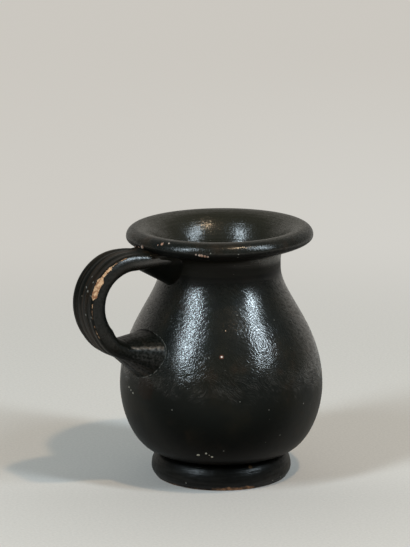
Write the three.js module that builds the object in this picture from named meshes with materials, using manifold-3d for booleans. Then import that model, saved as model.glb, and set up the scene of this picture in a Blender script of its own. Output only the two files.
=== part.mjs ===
// A small black-glazed olpe: a pear-shaped pouring jug with a ring foot, a flared mouth and one strap handle.
// The potter throws the body, the mouth and the foot ring as separate pieces, pulls the handle as a strap,
// and joins them leather-hard with luting clay. Units are millimetres, +Z is up, and the handle points to -X.
// The origin is on the surface that the foot stands on, midway between the handle and the far side of the belly.

import * as THREE from 'three';
import { mergeVertices } from 'three/addons/utils/BufferGeometryUtils.js';
import Module from 'manifold-3d';

// Foot ring
const footHeight = 9.2;
const footRestRadius = 24.9;
const footWidestRadius = 26.2;
const footWidestHeight = 3.3;
const footHollowRadius = 18.6;
const footHollowTopRadius = 16.4;
const footEdgeRadius = 0.5;

// Body wall
const bodyBottomRadius = 22.7;
const bellyRadius = 37.9;
const bellyHeight = 34.7;
const neckRadius = 22.5;
const neckHeight = 79.6;
const wallThickness = 3.1;
const floorThickness = 4.6;

// How far each curve of the outline runs straight before it turns
const underBellyRun = 9.6;
const lowerBellyRun = 10.5;
const upperBellyRun = 22.5;
const belowNeckRun = 11.2;
const aboveNeckRun = 9.1;

// Mouth
const mouthLength = 14.9;
const lipRadius = 34.7;
const lipCrestRadius = 31;
const lipCrestRise = 3.5;
const lipRollDepth = 2.6;
const lipRollWidth = 2.9;
const lipUndersideSlope = 22.7;
const lipUndersideRun = 7.7;

// Handle
const strapWidth = 13.5;
const strapThickness = 5.3;
const strapCorner = 1.5;
const strapGrooveDepth = 0.55;
const strapGrooves = 3;
const loopRadius = 15.9;
const loopStandOff = 3.3;
const loopDropBelowLip = 2;
const rootSlope = 27;

// Luting clay where the pieces join
const lutingThickness = 0.5;
const lutingRecess = 0.3;
const lutingEdge = 0.45;
const rootFlareLength = 8.5;
const rootFlareSide = 3.4;
const rootFlareAbove = 4.2;
const rootFlareBelow = 5.4;
const topFlareLength = 14;
const topFlareSide = 2.6;
const topFlareBelow = 6.4;

// Gap between separate pieces whose curved faces meet
const seatGap = 0.3;

// Fineness of the round surfaces
const aroundSteps = 48;
const loopSteps = 40;
const flareSteps = 6;

const bodyBottom = footHeight + lutingThickness;
const mouthBottom = neckHeight + lutingThickness;
const mouthHeight = mouthBottom + mouthLength;
const lipEdgeHeight = mouthHeight - lipCrestRise;
const neckInnerRadius = neckRadius - wallThickness;
const handleTopHeight = lipEdgeHeight - loopDropBelowLip - strapThickness / 2;
const loopCentreOut = bellyRadius + loopStandOff;
const loopCentreHeight = handleTopHeight - loopRadius;

const glaze = { color: 0x14120f, roughness: 0.34, metalness: 0 };
const luting = { color: 0x241a14, roughness: 0.5, metalness: 0 };
const wasm = await Module();
wasm.setup();

const vec = (x, y) => new THREE.Vector2(x, y);
const mix = THREE.MathUtils.lerp;
const radians = THREE.MathUtils.degToRad;

// Points along a cubic curve in a radius and height plane, without its first point.
function curvePoints(from, fromHandle, toHandle, to, steps) {
  return new THREE.CubicBezierCurve(from, fromHandle, toHandle, to).getPoints(steps).slice(1);
}

// The outline of the body's outside, from the edge of its flat bottom to the neck.
function bodyOutside() {
  const bottom = vec(bodyBottomRadius, bodyBottom);
  const belly = vec(bellyRadius, bellyHeight);
  const neck = vec(neckRadius, neckHeight);
  return [
    bottom,
    ...curvePoints(bottom, vec(bottom.x + underBellyRun, bottom.y),
      vec(belly.x, belly.y - lowerBellyRun), belly, 8),
    ...curvePoints(belly, vec(belly.x, belly.y + upperBellyRun),
      vec(neck.x, neck.y - belowNeckRun), neck, 12),
  ];
}

// The outline of the body's inside, from the neck down to the middle of the floor.
function bodyInside() {
  const floor = vec(0, bodyBottom + floorThickness);
  const belly = vec(bellyRadius - wallThickness, bellyHeight);
  const neck = vec(neckInnerRadius, neckHeight);
  return [
    neck,
    ...curvePoints(neck, vec(neck.x, neck.y - belowNeckRun),
      vec(belly.x, belly.y + upperBellyRun), belly, 9),
    ...curvePoints(belly, vec(belly.x, mix(belly.y, floor.y, 0.62)),
      vec(belly.x * 0.68, floor.y), floor, 7),
  ];
}

// The outline of the mouth's outside, from the neck joint over the rolled lip to its crest.
function mouthOutside() {
  const slope = radians(lipUndersideSlope);
  const along = vec(Math.cos(slope), Math.sin(slope));
  const joint = vec(neckRadius, mouthBottom);
  const widest = vec(lipRadius, lipEdgeHeight);
  const crest = vec(lipCrestRadius, mouthHeight);
  const under = vec(widest.x - lipRollWidth, widest.y - lipRollDepth);
  return [
    joint,
    ...curvePoints(joint, vec(joint.x, joint.y + aboveNeckRun),
      under.clone().addScaledVector(along, -lipUndersideRun), under, 6),
    ...curvePoints(under, under.clone().addScaledVector(along, lipRollWidth * 0.55),
      vec(widest.x, widest.y - lipRollDepth * 0.55), widest, 3),
    ...curvePoints(widest, vec(widest.x, mix(widest.y, crest.y, 0.6)),
      vec(mix(crest.x, widest.x, 0.45), crest.y), crest, 3),
  ];
}

// The outline of the mouth's inside, from the crest down the funnel to the neck joint.
function mouthInside() {
  const crest = vec(lipCrestRadius, mouthHeight);
  const throat = vec(neckInnerRadius, mouthBottom);
  return curvePoints(crest, vec(mix(crest.x, throat.x, 0.45), crest.y),
    vec(throat.x, mix(throat.y, crest.y, 0.62)), throat, 8);
}

// A ring or shell turned on the wheel from an outline that closes on itself or on the axis.
function turned(outline) {
  return new THREE.LatheGeometry(outline, aroundSteps).rotateX(Math.PI / 2);
}

// A three.js geometry as a solid that can be cut and joined.
function solid(geometry) {
  const plain = geometry.clone();
  plain.deleteAttribute('normal');
  plain.deleteAttribute('uv');
  const merged = mergeVertices(plain, 1e-4);
  return new wasm.Manifold(new wasm.Mesh({
    numProp: 3,
    vertProperties: merged.attributes.position.array,
    triVerts: new Uint32Array(merged.index.array),
  }));
}

// The largest body of a cut solid, as a three.js geometry.
function geometryOf(cut) {
  const largest = cut.decompose().reduce((a, b) => (b.volume() > a.volume() ? b : a));
  const mesh = largest.getMesh();
  const geometry = new THREE.BufferGeometry();
  geometry.setAttribute('position', new THREE.BufferAttribute(mesh.vertProperties, 3));
  geometry.setIndex(new THREE.BufferAttribute(mesh.triVerts, 1));
  geometry.computeVertexNormals();
  return geometry;
}

// The space that the body and the mouth fill, grown by the seat gap, to trim what is luted to them.
function vesselEnvelope() {
  const outline = [...bodyOutside(), ...mouthOutside()];
  const grown = outline.map((point, i) => {
    const before = outline[Math.max(i - 1, 0)];
    const after = outline[Math.min(i + 1, outline.length - 1)];
    const tangent = after.clone().sub(before).normalize();
    return vec(point.x + tangent.y * seatGap, point.y - tangent.x * seatGap);
  });
  const top = mouthHeight + seatGap;
  return solid(turned([
    vec(0, grown[0].y),
    ...grown.slice(0, -1),
    vec(lipCrestRadius, top),
    vec(0, top),
  ]));
}

// The handle's middle line in its own plane: out under the lip, round the loop and down to the belly.
class StrapPath extends THREE.Curve {
  constructor() {
    super();
    this.slope = radians(rootSlope);
    this.sweep = Math.PI - this.slope;
    this.topRun = loopCentreOut - neckInnerRadius;
    this.loopRun = loopRadius * this.sweep;
    this.loopEnd = vec(loopCentreOut + loopRadius * Math.sin(this.slope),
      loopCentreHeight - loopRadius * Math.cos(this.slope));
    this.total = this.rootDistanceAt(neckInnerRadius);
  }

  // How far along the line its sloping end run is at a given distance out from the axis.
  rootDistanceAt(out) {
    return this.topRun + this.loopRun + (this.loopEnd.x - out) / Math.cos(this.slope);
  }

  // The place a distance along the line: how far out from the axis, and how high.
  placeAt(distance) {
    if (distance < this.topRun) {
      return vec(neckInnerRadius + distance, handleTopHeight);
    }
    const round = (distance - this.topRun) / loopRadius;
    if (round < this.sweep) {
      return vec(loopCentreOut + loopRadius * Math.sin(round),
        loopCentreHeight + loopRadius * Math.cos(round));
    }
    const beyond = distance - this.topRun - this.loopRun;
    return vec(this.loopEnd.x - beyond * Math.cos(this.slope),
      this.loopEnd.y - beyond * Math.sin(this.slope));
  }

  // The way across the strap's thickness, towards the finger.
  inwardAt(distance) {
    const round = THREE.MathUtils.clamp((distance - this.topRun) / loopRadius, 0, this.sweep);
    return vec(-Math.sin(round), -Math.cos(round));
  }

  getPoint(t, target = new THREE.Vector3()) {
    const place = this.placeAt(t * this.total);
    return target.set(-place.x, 0, place.y);
  }
}

const strapPath = new StrapPath();

// The strap's section: x runs towards the finger, y across the strap, and the outer face is fluted.
function strapSection() {
  const face = strapThickness / 2;
  const side = strapWidth / 2;
  const flutedHalf = side - strapCorner;
  const stepsPerGroove = 4;
  const steps = strapGrooves * stepsPerGroove;
  const shape = new THREE.Shape();
  shape.moveTo(face - strapCorner, side);
  shape.lineTo(strapCorner - face, side);
  shape.quadraticCurveTo(-face, side, -face, flutedHalf);
  for (let i = 1; i <= steps; i++) {
    const depth = strapGrooveDepth * Math.sin(Math.PI * i / stepsPerGroove) ** 2;
    shape.lineTo(depth - face, mix(flutedHalf, -flutedHalf, i / steps));
  }
  shape.quadraticCurveTo(-face, -side, strapCorner - face, -side);
  shape.lineTo(face - strapCorner, -side);
  shape.quadraticCurveTo(face, -side, face, -flutedHalf);
  shape.lineTo(face, flutedHalf);
  shape.quadraticCurveTo(face, side, face - strapCorner, side);
  return shape;
}

// The rim of a plain rounded strap section, grown on every side, with the way that each point faces.
function plainRim(grow) {
  const corner = strapCorner + grow;
  const cornerSteps = 4;
  const faceSteps = 4;
  const rim = [];
  for (let quarter = 0; quarter < 4; quarter++) {
    const signX = quarter === 0 || quarter === 3 ? 1 : -1;
    const signY = quarter < 2 ? 1 : -1;
    const middle = vec(signX * (strapThickness / 2 - strapCorner), signY * (strapWidth / 2 - strapCorner));
    for (let i = 0; i <= cornerSteps; i++) {
      const angle = (quarter + i / cornerSteps) * Math.PI / 2;
      const facing = vec(Math.cos(angle), Math.sin(angle));
      rim.push({ at: middle.clone().addScaledVector(facing, corner), facing });
    }
    const next = middle.clone();
    if (quarter % 2 === 0) next.x = -next.x;
    else next.y = -next.y;
    const { facing } = rim[rim.length - 1];
    for (let i = 1; i < faceSteps; i++) {
      const place = middle.clone().lerp(next, i / faceSteps);
      rim.push({ at: place.addScaledVector(facing, corner), facing });
    }
  }
  return rim;
}

// A ring of points round the strap's line, from a section's points across it.
function ringAt(distance, section) {
  const place = strapPath.placeAt(distance);
  const inward = strapPath.inwardAt(distance);
  return section.map((point) => new THREE.Vector3(
    -(place.x + inward.x * point.x), point.y, place.y + inward.y * point.x));
}

// A closed skin over rings that follow the strap's line towards its root, with both ends capped.
function skinned(rings) {
  const around = rings[0].length;
  const middle = (ring) => ring
    .reduce((sum, point) => sum.add(point), new THREE.Vector3()).divideScalar(around);
  const last = rings.length - 1;
  const firstCap = rings.length * around;
  const lastCap = firstCap + 1;
  const faces = [];
  for (let r = 0; r <= last; r++) {
    for (let i = 0; i < around; i++) {
      const a = r * around + i;
      const b = r * around + (i + 1) % around;
      if (r === 0) faces.push(firstCap, a, b);
      if (r === last) faces.push(lastCap, b, a);
      else faces.push(a, b + around, b, a, a + around, b + around);
    }
  }
  const points = [...rings.flat(), middle(rings[0]), middle(rings[last])];
  return new THREE.BufferGeometry().setFromPoints(points).setIndex(faces);
}

// Luting clay round the strap: thin where it starts along the line, then spread like a fillet until
// the seat, and from there straight on into the vessel.
function flare(start, seat, buried, spread) {
  const rim = plainRim(seatGap + lutingEdge);
  const stations = [];
  for (let i = 0; i <= flareSteps; i++) {
    const turn = Math.PI / 2 * i / flareSteps;
    stations.push({ distance: mix(start, seat, Math.sin(turn)), out: 1 - Math.cos(turn) });
  }
  stations.push({ distance: buried, out: 1 });
  const rings = stations.map(({ distance, out }) => ringAt(distance, rim.map(({ at, facing }) => {
    const towards = facing.x > 0 ? spread.inner : spread.outer;
    return vec(at.x + facing.x * towards * out, at.y + facing.y * spread.side * out);
  })));
  return solid(skinned(start < buried ? rings : rings.reverse()));
}

// The room that the strap takes in its luting clay: the plain strap, grown by the seat gap.
function strapRoom() {
  const rim = plainRim(seatGap).map(({ at }) => at);
  const rings = [];
  for (let i = 0; i <= loopSteps; i++) {
    rings.push(ringAt(strapPath.total * i / loopSteps, rim));
  }
  return solid(skinned(rings));
}

// How far along its line the strap's sloping end run meets the belly.
function rootSeat() {
  const outline = bodyOutside();
  const stepAlong = 0.05;
  let distance = strapPath.topRun + strapPath.loopRun;
  while (distance < strapPath.total) {
    const place = strapPath.placeAt(distance);
    const above = Math.max(1, outline.findIndex((point) => point.y > place.y));
    const [low, high] = [outline[above - 1], outline[above]];
    const wall = mix(low.x, high.x, (place.y - low.y) / (high.y - low.y));
    if (place.x < wall) break;
    distance += stepAlong;
  }
  return distance;
}

function footRing() {
  const widest = vec(footWidestRadius, footWidestHeight);
  const top = vec(bodyBottomRadius, footHeight);
  const restEdge = vec(footRestRadius, footEdgeRadius);
  const hollowEdge = vec(footHollowRadius, footEdgeRadius);
  const hollowTop = vec(footHollowTopRadius, footHeight);
  return turned([
    hollowTop,
    ...curvePoints(hollowTop, vec(hollowTop.x, footHeight * 0.5),
      vec(hollowEdge.x, footHeight * 0.4), hollowEdge, 4),
    vec(footHollowRadius + footEdgeRadius, 0),
    vec(footRestRadius - footEdgeRadius, 0),
    restEdge,
    ...curvePoints(restEdge, vec(mix(restEdge.x, widest.x, 0.6), mix(restEdge.y, widest.y, 0.3)),
      vec(widest.x, mix(restEdge.y, widest.y, 0.6)), widest, 3),
    ...curvePoints(widest, vec(widest.x, mix(widest.y, top.y, 0.55)),
      vec(mix(top.x, widest.x, 0.55), top.y), top, 5),
    hollowTop,
  ]);
}

// A flat ring of luting clay between two thrown pieces, a little short of their outside.
function lutingRing(innerRadius, outerRadius, bottom) {
  const outer = outerRadius - lutingRecess;
  const top = bottom + lutingThickness;
  return turned([
    vec(innerRadius, bottom),
    vec(outer, bottom),
    vec(outer, top),
    vec(innerRadius, top),
    vec(innerRadius, bottom),
  ]);
}

function body() {
  return turned([vec(0, bodyBottom), ...bodyOutside(), ...bodyInside()]);
}

function mouth() {
  return turned([...mouthOutside(), ...mouthInside(), vec(neckRadius, mouthBottom)]);
}

function handle(envelope) {
  const strap = new THREE.ExtrudeGeometry(strapSection(), {
    steps: loopSteps,
    curveSegments: 3,
    extrudePath: strapPath,
  });
  return geometryOf(solid(strap).subtract(envelope));
}

function rootLuting(envelope, room) {
  const seat = rootSeat();
  const spread = { inner: rootFlareAbove, outer: rootFlareBelow, side: rootFlareSide };
  const shape = flare(seat - rootFlareLength, seat, strapPath.total, spread);
  return geometryOf(shape.subtract(envelope).subtract(room));
}

function topLuting(envelope, room) {
  const seat = neckRadius - neckInnerRadius + seatGap;
  const spread = { inner: topFlareBelow, outer: 0, side: topFlareSide };
  const shape = flare(seat + topFlareLength, seat, 0, spread);
  return geometryOf(shape.subtract(envelope).subtract(room));
}

function piece(name, geometry, finish) {
  const mesh = new THREE.Mesh(geometry, new THREE.MeshStandardMaterial(finish));
  mesh.name = name;
  return mesh;
}

const envelope = vesselEnvelope();
const room = strapRoom();

const olpe = new THREE.Group();
olpe.add(
  piece('foot_ring', footRing(), glaze),
  piece('foot_luting', lutingRing(footHollowTopRadius, bodyBottomRadius, footHeight), luting),
  piece('body', body(), glaze),
  piece('neck_luting', lutingRing(neckInnerRadius, neckRadius, neckHeight), luting),
  piece('mouth', mouth(), glaze),
  piece('handle', handle(envelope), glaze),
  piece('handle_top_luting', topLuting(envelope, room), luting),
  piece('handle_root_luting', rootLuting(envelope, room), luting),
);

// Stand the olpe so that the origin is at the middle of its footprint.
const extent = new THREE.Box3().setFromObject(olpe, true);
olpe.position.set(-(extent.min.x + extent.max.x) / 2, 0, 0);

const part = new THREE.Group();
part.add(olpe);

export default part;
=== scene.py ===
# %% [markdown]
# A small black-glazed olpe, dressed in Blender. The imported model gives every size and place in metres,
# with +Z up and the handle towards -X. Each fired-clay piece is made again here with a finer surface,
# and painted with node materials: a burnished black slip, worn to orange clay on its edges.

# %% Load the fixed frame
import math

import bmesh
import bpy
import numpy as np
from mathutils import Matrix, Vector


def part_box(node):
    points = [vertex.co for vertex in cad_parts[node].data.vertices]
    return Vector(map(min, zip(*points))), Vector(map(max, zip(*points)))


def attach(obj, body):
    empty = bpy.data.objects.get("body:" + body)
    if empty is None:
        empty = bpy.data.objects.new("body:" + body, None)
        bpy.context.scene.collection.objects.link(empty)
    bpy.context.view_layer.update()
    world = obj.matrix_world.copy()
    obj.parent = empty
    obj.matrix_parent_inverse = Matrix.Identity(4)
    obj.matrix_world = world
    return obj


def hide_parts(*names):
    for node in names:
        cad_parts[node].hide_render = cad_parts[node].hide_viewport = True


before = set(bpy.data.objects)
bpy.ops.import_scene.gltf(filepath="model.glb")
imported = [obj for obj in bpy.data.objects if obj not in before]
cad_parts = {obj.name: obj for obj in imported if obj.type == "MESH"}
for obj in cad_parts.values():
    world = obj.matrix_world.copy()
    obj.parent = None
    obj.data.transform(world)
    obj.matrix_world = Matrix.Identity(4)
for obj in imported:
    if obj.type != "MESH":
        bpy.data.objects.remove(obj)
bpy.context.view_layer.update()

MM = 0.001

# %% [markdown]
# The camera comes first. The photograph was taken from about 1.1 m away with a long lens, a little above
# the pot, with the handle turned 33 degrees towards it. Working in photograph axes (right, away, up) from
# the wheel axis and then turning them by the handle's angle puts the camera in the model's frame. The
# picture is upright, so Blender's sensor measures its height.

# %% The camera
PHOTO_HEIGHT, FOCAL_PIXELS = 547, 3000.5
MM_PER_PIXEL = 0.37713
CAMERA_DOWN = 0.2244
POT_RIGHT_PIXELS, POT_UP_PIXELS = 16.1, -198.1
HANDLE_TURN = math.radians(33)
SENSOR = 36

body_low, body_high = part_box("body")
AXIS_X = (body_low.x + body_high.x) / 2
toward_right = Vector((math.cos(HANDLE_TURN), -math.sin(HANDLE_TURN), 0))
away = Vector((math.sin(HANDLE_TURN), math.cos(HANDLE_TURN), 0))
up = Vector((0, 0, 1))
look = away * math.cos(CAMERA_DOWN) - up * math.sin(CAMERA_DOWN)
camera_up = away * math.sin(CAMERA_DOWN) + up * math.cos(CAMERA_DOWN)
pixel = MM_PER_PIXEL * MM

camera = bpy.data.objects.new("camera", bpy.data.cameras.new("camera"))
camera.data.sensor_width = SENSOR
camera.data.lens = SENSOR * FOCAL_PIXELS / PHOTO_HEIGHT
camera.data.clip_start, camera.data.clip_end = 0.05, 50
offset = toward_right * POT_RIGHT_PIXELS + camera_up * POT_UP_PIXELS + look * FOCAL_PIXELS
place = Vector((AXIS_X, 0, 0)) - offset * pixel
turn = Matrix((toward_right, camera_up, -look)).transposed()
camera.matrix_world = Matrix.Translation(place) @ turn.to_4x4()
bpy.context.scene.collection.objects.link(camera)
bpy.context.scene.camera = camera
print("camera at, mm:", [round(c / MM) for c in camera.location], "lens", round(camera.data.lens, 1))

# %% [markdown]
# A node material is easier to read as arithmetic. A Wire wraps one shader socket, so that 1 - mask or
# height * 0.5 adds its Math node by itself, and Finish.node makes any other node from its type, its
# settings and its inputs. Colours and vectors have their own methods, because a Math node would turn a
# colour grey.

# %% Shader arithmetic
class Wire:
    """One output socket of a node tree, for use in sums."""

    def __init__(self, finish, socket):
        self.finish = finish
        self.socket = socket

    def math(self, operation, *values):
        inputs = dict(enumerate((self, *values)))
        return self.finish.node("ShaderNodeMath", {"operation": operation}, inputs)

    def reflected(self, operation, value):
        return self.finish.node("ShaderNodeMath", {"operation": operation}, {0: value, 1: self})

    def __add__(self, other):
        return self.math("ADD", other)

    def __sub__(self, other):
        return self.math("SUBTRACT", other)

    def __mul__(self, other):
        return self.math("MULTIPLY", other)

    def __truediv__(self, other):
        return self.math("DIVIDE", other)

    def __rsub__(self, other):
        return self.reflected("SUBTRACT", other)

    __radd__ = __add__
    __rmul__ = __mul__

    def larger(self, other):
        return self.math("MAXIMUM", other)


class Finish:
    """A material, or the world, being built node by node."""

    def __init__(self, name, owner=None):
        self.owner = owner or bpy.data.materials.new(name)
        self.owner.use_nodes = True
        self.tree = self.owner.node_tree
        self.tree.nodes.clear()

    def node(self, kind, settings=None, inputs=None, output=0):
        made = self.tree.nodes.new(kind)
        for key, value in (settings or {}).items():
            setattr(made, key, value)
        for key, value in (inputs or {}).items():
            if isinstance(value, Wire):
                self.tree.links.new(value.socket, made.inputs[key])
            else:
                made.inputs[key].default_value = value
        return Wire(self, made.outputs[output])

    def split(self, vector):
        made = self.node("ShaderNodeSeparateXYZ", {}, {0: vector})
        return [Wire(self, socket) for socket in made.socket.node.outputs]

    def vector(self, operation, a, b=(0, 0, 0)):
        return self.node("ShaderNodeVectorMath", {"operation": operation}, {0: a, 1: b})

    def scaled(self, vector, factor):
        return self.node("ShaderNodeVectorMath", {"operation": "SCALE"}, {0: vector, "Scale": factor})

    def length(self, vector):
        return self.node("ShaderNodeVectorMath", {"operation": "LENGTH"}, {0: vector}, 1)

    def reach(self, vector, way):
        """How far a vector reaches along a way."""
        settings = {"operation": "DOT_PRODUCT"}
        return self.node("ShaderNodeVectorMath", settings, {0: vector, 1: tuple(way)}, 1)

    def noise(self, vector, detail=2, output=0):
        inputs = {"Vector": vector, "Scale": 1, "Detail": detail, "Roughness": 0.5}
        return self.node("ShaderNodeTexNoise", {}, inputs, output)

    def step(self, value, low, high):
        """0 below low, 1 above high, and smooth between them; low above high turns it round."""
        settings = {"interpolation_type": "SMOOTHSTEP"}
        return self.node("ShaderNodeMapRange", settings, {0: value, 1: low, 2: high})

    def mix(self, factor, a, b):
        settings = {"data_type": "RGBA"}
        made = self.node("ShaderNodeMix", settings, {0: factor}, 2)
        for index, value in ((6, a), (7, b)):
            if isinstance(value, Wire):
                self.tree.links.new(value.socket, made.socket.node.inputs[index])
            else:
                made.socket.node.inputs[index].default_value = (*value, 1)
        return made

    def surface(self, shader):
        is_world = isinstance(self.owner, bpy.types.World)
        kind = "ShaderNodeOutputWorld" if is_world else "ShaderNodeOutputMaterial"
        out = self.tree.nodes.new(kind)
        self.tree.links.new(shader.socket, out.inputs["Surface"])
        return self.owner


# %% [markdown]
# The outline. Every turned piece is half a silhouette swept round the wheel axis. The same cubic curves
# that carry the solid model are repeated here, in millimetres, with many more points along each. The
# sizes that the solid model can tell are read from it. A RUN is how far a curve's handle reaches, so a
# long run makes a slow, full curve.

# %% The outline's sizes
def radius_of(node):
    low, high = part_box(node)
    return (high.y - low.y) / 2 / MM


FOOT_WIDEST = radius_of("foot_ring")
FOOT_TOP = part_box("foot_ring")[1].z / MM
BELLY = radius_of("body")
BODY_BOTTOM = body_low.z / MM
NECK_HEIGHT = body_high.z / MM
LIP = radius_of("mouth")
MOUTH_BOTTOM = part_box("mouth")[0].z / MM
MOUTH_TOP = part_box("mouth")[1].z / MM

FOOT_REST, FOOT_WIDEST_HEIGHT, FOOT_EDGE = 24.9, 3.3, 0.5
FOOT_HOLLOW, FOOT_HOLLOW_TOP = 18.6, 16.4
BODY_BOTTOM_RADIUS, BELLY_HEIGHT, NECK = 22.7, 34.7, 22.5
WALL, FLOOR = 3.1, 4.6
UNDER_BELLY_RUN, LOWER_BELLY_RUN, UPPER_BELLY_RUN = 9.6, 10.5, 22.5
BELOW_NECK_RUN, ABOVE_NECK_RUN = 11.2, 9.1
LIP_CREST, LIP_CREST_RISE = 31, 3.5
LIP_ROLL_DEPTH, LIP_ROLL_WIDTH = 2.6, 2.9
LIP_UNDERSIDE_SLOPE, LIP_UNDERSIDE_RUN = math.radians(22.7), 7.7
LIP_EDGE_HEIGHT = MOUTH_TOP - LIP_CREST_RISE


def curve(start, start_handle, end_handle, end, steps):
    """Points along a cubic curve, without its first point."""
    t = np.linspace(0, 1, steps + 1)[1:, None]
    a, b, c, d = (np.array(p, float) for p in (start, start_handle, end_handle, end))
    return (1 - t) ** 3 * a + 3 * (1 - t) ** 2 * t * b + 3 * (1 - t) * t ** 2 * c + t ** 3 * d


def between(a, b, share):
    return a + (b - a) * share


# %% The outline of each piece
def body_outside():
    bottom, belly, neck = (BODY_BOTTOM_RADIUS, BODY_BOTTOM), (BELLY, BELLY_HEIGHT), (NECK, NECK_HEIGHT)
    return np.vstack([
        [bottom],
        curve(bottom, (bottom[0] + UNDER_BELLY_RUN, bottom[1]),
              (belly[0], belly[1] - LOWER_BELLY_RUN), belly, 60),
        curve(belly, (belly[0], belly[1] + UPPER_BELLY_RUN),
              (neck[0], neck[1] - BELOW_NECK_RUN), neck, 90),
    ])


def body_inside():
    neck, belly, floor = (NECK - WALL, NECK_HEIGHT), (BELLY - WALL, BELLY_HEIGHT), (0, BODY_BOTTOM + FLOOR)
    return np.vstack([
        [neck],
        curve(neck, (neck[0], neck[1] - BELOW_NECK_RUN),
              (belly[0], belly[1] + UPPER_BELLY_RUN), belly, 60),
        curve(belly, (belly[0], between(belly[1], floor[1], 0.62)),
              (belly[0] * 0.68, floor[1]), floor, 40),
    ])


def mouth_outside():
    along = np.array((math.cos(LIP_UNDERSIDE_SLOPE), math.sin(LIP_UNDERSIDE_SLOPE)))
    joint, widest, crest = (NECK, MOUTH_BOTTOM), (LIP, LIP_EDGE_HEIGHT), (LIP_CREST, MOUTH_TOP)
    under = np.array((LIP - LIP_ROLL_WIDTH, LIP_EDGE_HEIGHT - LIP_ROLL_DEPTH))
    return np.vstack([
        [joint],
        curve(joint, (joint[0], joint[1] + ABOVE_NECK_RUN), under - along * LIP_UNDERSIDE_RUN, under, 40),
        curve(under, under + along * LIP_ROLL_WIDTH * 0.55,
              (LIP, LIP_EDGE_HEIGHT - LIP_ROLL_DEPTH * 0.55), widest, 16),
        curve(widest, (LIP, between(LIP_EDGE_HEIGHT, MOUTH_TOP, 0.6)),
              (between(LIP_CREST, LIP, 0.45), MOUTH_TOP), crest, 16),
    ])


def mouth_inside():
    crest, throat = (LIP_CREST, MOUTH_TOP), (NECK - WALL, MOUTH_BOTTOM)
    return curve(crest, (between(crest[0], throat[0], 0.45), crest[1]),
                 (throat[0], between(throat[1], crest[1], 0.62)), throat, 60)


def foot_outline():
    widest, top = (FOOT_WIDEST, FOOT_WIDEST_HEIGHT), (BODY_BOTTOM_RADIUS, FOOT_TOP)
    rest_edge, hollow_edge = (FOOT_REST, FOOT_EDGE), (FOOT_HOLLOW, FOOT_EDGE)
    hollow_top = (FOOT_HOLLOW_TOP, FOOT_TOP)
    return np.vstack([
        [hollow_top],
        curve(hollow_top, (hollow_top[0], FOOT_TOP * 0.5),
              (hollow_edge[0], FOOT_TOP * 0.4), hollow_edge, 24),
        curve(hollow_edge, (FOOT_HOLLOW, FOOT_EDGE * 0.4), (FOOT_HOLLOW + FOOT_EDGE * 0.4, 0),
              (FOOT_HOLLOW + FOOT_EDGE, 0), 4),
        [(FOOT_REST - FOOT_EDGE, 0)],
        curve((FOOT_REST - FOOT_EDGE, 0), (FOOT_REST - FOOT_EDGE * 0.3, 0),
              (FOOT_REST, FOOT_EDGE * 0.5), rest_edge, 4),
        curve(rest_edge, (between(rest_edge[0], widest[0], 0.6), between(rest_edge[1], widest[1], 0.3)),
              (widest[0], between(rest_edge[1], widest[1], 0.6)), widest, 14),
        curve(widest, (widest[0], between(widest[1], top[1], 0.55)),
              (between(top[0], widest[0], 0.55), top[1]), top, 26),
    ])


print("outline points:", len(body_outside()), len(body_inside()), len(mouth_outside()), len(mouth_inside()))

# %% [markdown]
# Turning on the wheel is a rule, so Geometry Nodes do it. The tree takes an outline as a row of points,
# lays a grid with one row for each of them, and bends the grid round the axis. The grid's two ends meet
# there, and merging points by distance closes that seam and the poles.

# %% The wheel as a node tree
WHEEL_INPUTS = [
    ("Outline", "NodeSocketGeometry"),
    ("Steps Around", "NodeSocketInt"),
    ("Axis X", "NodeSocketFloat"),
    ("Finish", "NodeSocketMaterial"),
]
MERGE_DISTANCE = 1e-6


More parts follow.
